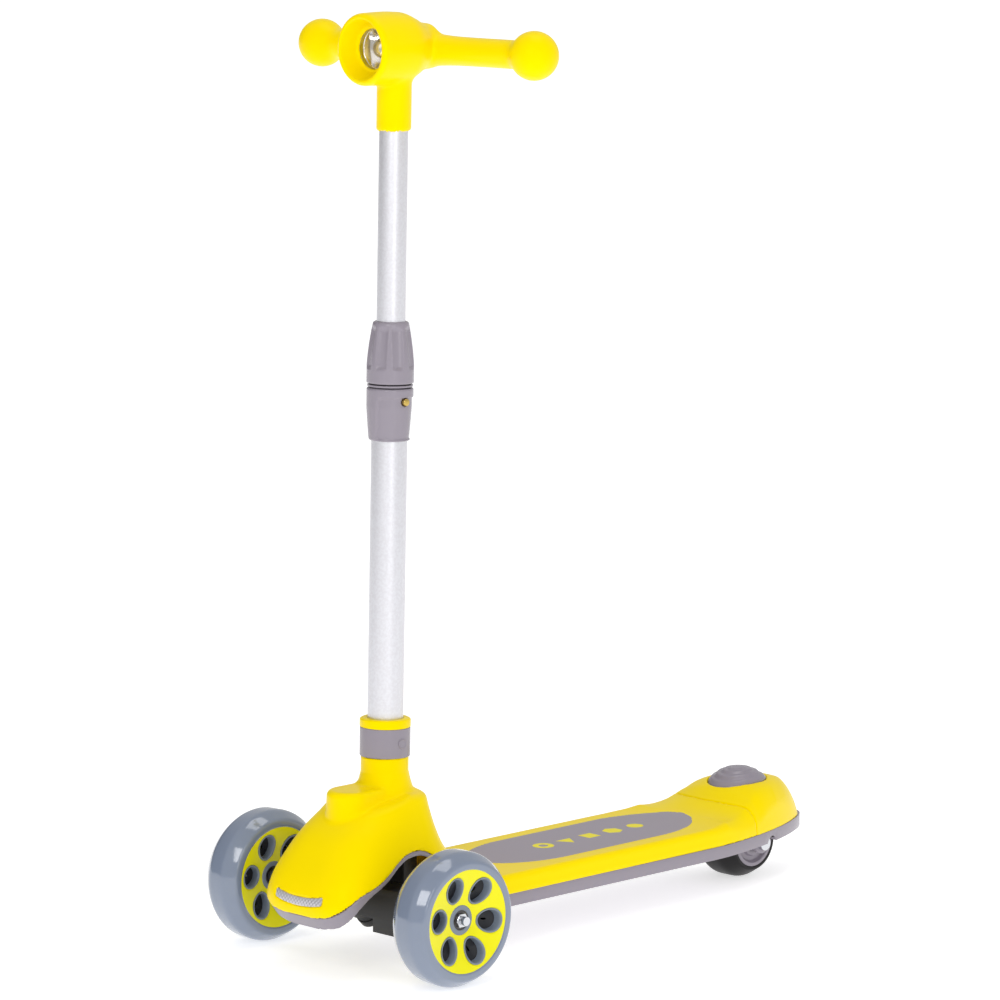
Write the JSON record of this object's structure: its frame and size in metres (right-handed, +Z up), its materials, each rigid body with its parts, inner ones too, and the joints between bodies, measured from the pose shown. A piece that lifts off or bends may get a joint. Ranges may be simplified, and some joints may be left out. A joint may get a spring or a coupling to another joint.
{
  "type": "kick scooter",
  "caption": "Children's lean-to-steer kick scooter with a height-adjustable T-bar, wide front wheels on a sprung truck, a small rear wheel and a press-down brake.",
  "frame": {"origin": "on the floor at the middle of the scooter's length and width", "axes": "+Z up, -Y forward, +X the rider's left"},
  "size_m": [0.3122, 0.6441, 0.8377],
  "materials": {
    "yellow_plastic": "moulded, soft gloss",
    "yellow_print": "flush inlay",
    "lime_plastic": "moulded, gloss",
    "grey_plastic": "moulded, satin",
    "hub_plastic": "moulded, satin",
    "pad_rubber": "fine grained",
    "urethane": "glossy cast urethane",
    "black_tyre": "satin",
    "black_plastic": "moulded, satin",
    "nylon": "natural",
    "bush_rubber": "matte",
    "tube_aluminium": "bead-blasted satin",
    "steel": "bright zinc plate",
    "brass": "polished",
    "silver_reflector": "embossed reflector",
    "lamp_chrome": "mirror",
    "clear_lens": "clear",
    "led_white": "clear epoxy",
    "board_green": "solder mask"
  },
  "bodies": {
    "deck": {"deck_base": "grey_plastic", "deck_top_shell": "yellow_plastic", "tail_cover": "yellow_plastic", "deck_pad": "pad_rubber", "pad_marks": "yellow_print", "deck_screws": "steel", "nose_cover": "yellow_plastic", "nose_trim": "grey_plastic", "front_reflector": "silver_reflector", "steering_block": "black_plastic", "block_bolts": "steel", "kingpin": "steel", "kingpin_nut": "steel", "steering_bushes": "bush_rubber", "neck_ring": "grey_plastic", "neck_cap": "yellow_plastic", "rear_bolt": "steel", "rear_nut": "steel", "rear_spacers": "steel", "brake_springs": "steel"},
    "truck": {"axle_beam": "black_plastic", "kingpin_sleeve": "nylon", "stub_axles": "steel", "axle_nuts": "steel", "inner_spacers": "steel"},
    "left_wheel": {"left_wheel_tyre": "urethane", "left_wheel_core": "hub_plastic", "left_wheel_faces": "lime_plastic", "left_wheel_bearings": "steel", "left_wheel_spacer": "steel"},
    "right_wheel": {"right_wheel_tyre": "urethane", "right_wheel_core": "hub_plastic", "right_wheel_faces": "lime_plastic", "right_wheel_bearings": "steel", "right_wheel_spacer": "steel"},
    "rear_wheel": {"rear_tyre": "black_tyre", "rear_hub": "hub_plastic", "rear_bearings": "steel"},
    "brake": {"brake_pedal": "grey_plastic", "brake_shoe": "bush_rubber"},
    "column": {"lower_tube": "tube_aluminium", "collar_body": "grey_plastic", "collar_ring": "grey_plastic", "tube_bush": "nylon"},
    "twist_nut": {"twist_nut": "grey_plastic"},
    "snap_button": {"snap_button": "brass"},
    "release_button": {"release_button": "grey_plastic"},
    "handlebar": {"upper_tube": "tube_aluminium", "bar_front_shell": "yellow_plastic", "bar_back_shell": "yellow_plastic", "bar_screws": "steel", "lamp_lens": "clear_lens", "lamp_reflector": "lamp_chrome", "lamp_led": "led_white", "lamp_board": "board_green", "lamp_cells": "steel", "rear_cap": "yellow_plastic"},
    "light_switch": {"light_switch": "grey_plastic"}
  },
  "joints": [
    {"name": "steering_lean", "type": "hinge", "parent": "deck", "child": "truck", "pos_m": [0, -0.25, 0.06], "axis": [0, -0.7071, 0.7071], "range_deg": [-12, 12], "stiffness_Nm_per_rad": 60},
    {"name": "left_wheel_spin", "type": "hinge", "parent": "truck", "child": "left_wheel", "pos_m": [0.122, -0.25, 0.06], "axis": [1, 0, 0], "continuous": true},
    {"name": "right_wheel_spin", "type": "hinge", "parent": "truck", "child": "right_wheel", "pos_m": [-0.122, -0.25, 0.06], "axis": [1, 0, 0], "continuous": true},
    {"name": "rear_wheel_spin", "type": "hinge", "parent": "deck", "child": "rear_wheel", "pos_m": [0, 0.238, 0.036], "axis": [1, 0, 0], "continuous": true},
    {"name": "brake_press", "type": "slide", "parent": "deck", "child": "brake", "axis": [0, 0, -1], "range_m": [0, 0.004], "stiffness_N_per_m": 2500, "deforming": ["brake_springs"]},
    {"name": "column_lift", "type": "slide", "parent": "deck", "child": "column", "axis": [0, 0.0288, 0.9996], "range_m": [0, 0.06]},
    {"name": "handlebar_height", "type": "slide", "parent": "column", "child": "handlebar", "axis": [0, 0.0288, 0.9996], "range_m": [-0.16, 0]},
    {"name": "nut_turn", "type": "hinge", "parent": "column", "child": "twist_nut", "pos_m": [0, -0.20505, 0.54], "axis": [0, 0.0288, 0.9996], "range_deg": [0, 90]},
    {"name": "snap_press", "type": "slide", "parent": "column", "child": "snap_button", "axis": [-1, 0, 0], "range_m": [0, 0.0015], "stiffness_N_per_m": 800},
    {"name": "release_press", "type": "slide", "parent": "deck", "child": "release_button", "axis": [-1, 0, 0], "range_m": [0, 0.0015], "stiffness_N_per_m": 800},
    {"name": "switch_press", "type": "slide", "parent": "handlebar", "child": "light_switch", "axis": [0, -1, 0], "range_m": [0, 0.002], "stiffness_N_per_m": 600}
  ]
}
